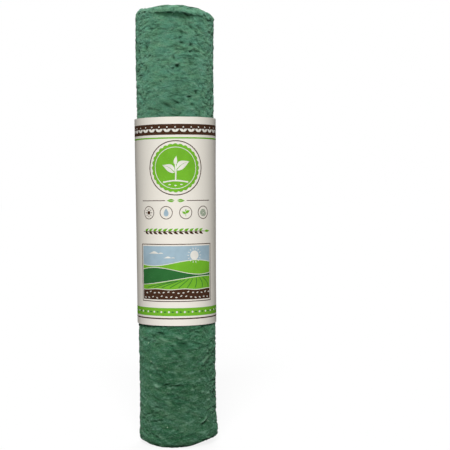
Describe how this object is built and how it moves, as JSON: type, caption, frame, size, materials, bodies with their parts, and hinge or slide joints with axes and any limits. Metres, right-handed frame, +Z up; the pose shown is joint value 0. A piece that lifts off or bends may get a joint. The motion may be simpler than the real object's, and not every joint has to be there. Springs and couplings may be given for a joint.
{
  "type": "roll of grass seed mat",
  "caption": "Green fibre mat sown with grass seed, wound without a core into a tall roll that stands on end, with a printed card sleeve round its middle.",
  "frame": {"origin": "centre of the roll's lower end, on the floor that it stands on", "axes": "+Z up along the roll's axis; -Y towards the front of the sleeve; +Y towards the mat's free edge and the sleeve's lap at the back"},
  "size_m": [0.0932, 0.0932, 0.5],
  "materials": {
    "mat_fibre": "matt dyed fibre felt, lumpy and fuzzy, with pits and wrinkles",
    "sleeve_card": "smooth uncoated card, printed in green, brown and grey-blue"
  },
  "bodies": {
    "root": {"mat_roll": "mat_fibre", "label_sleeve": "sleeve_card"}
  },
  "joints": []
}
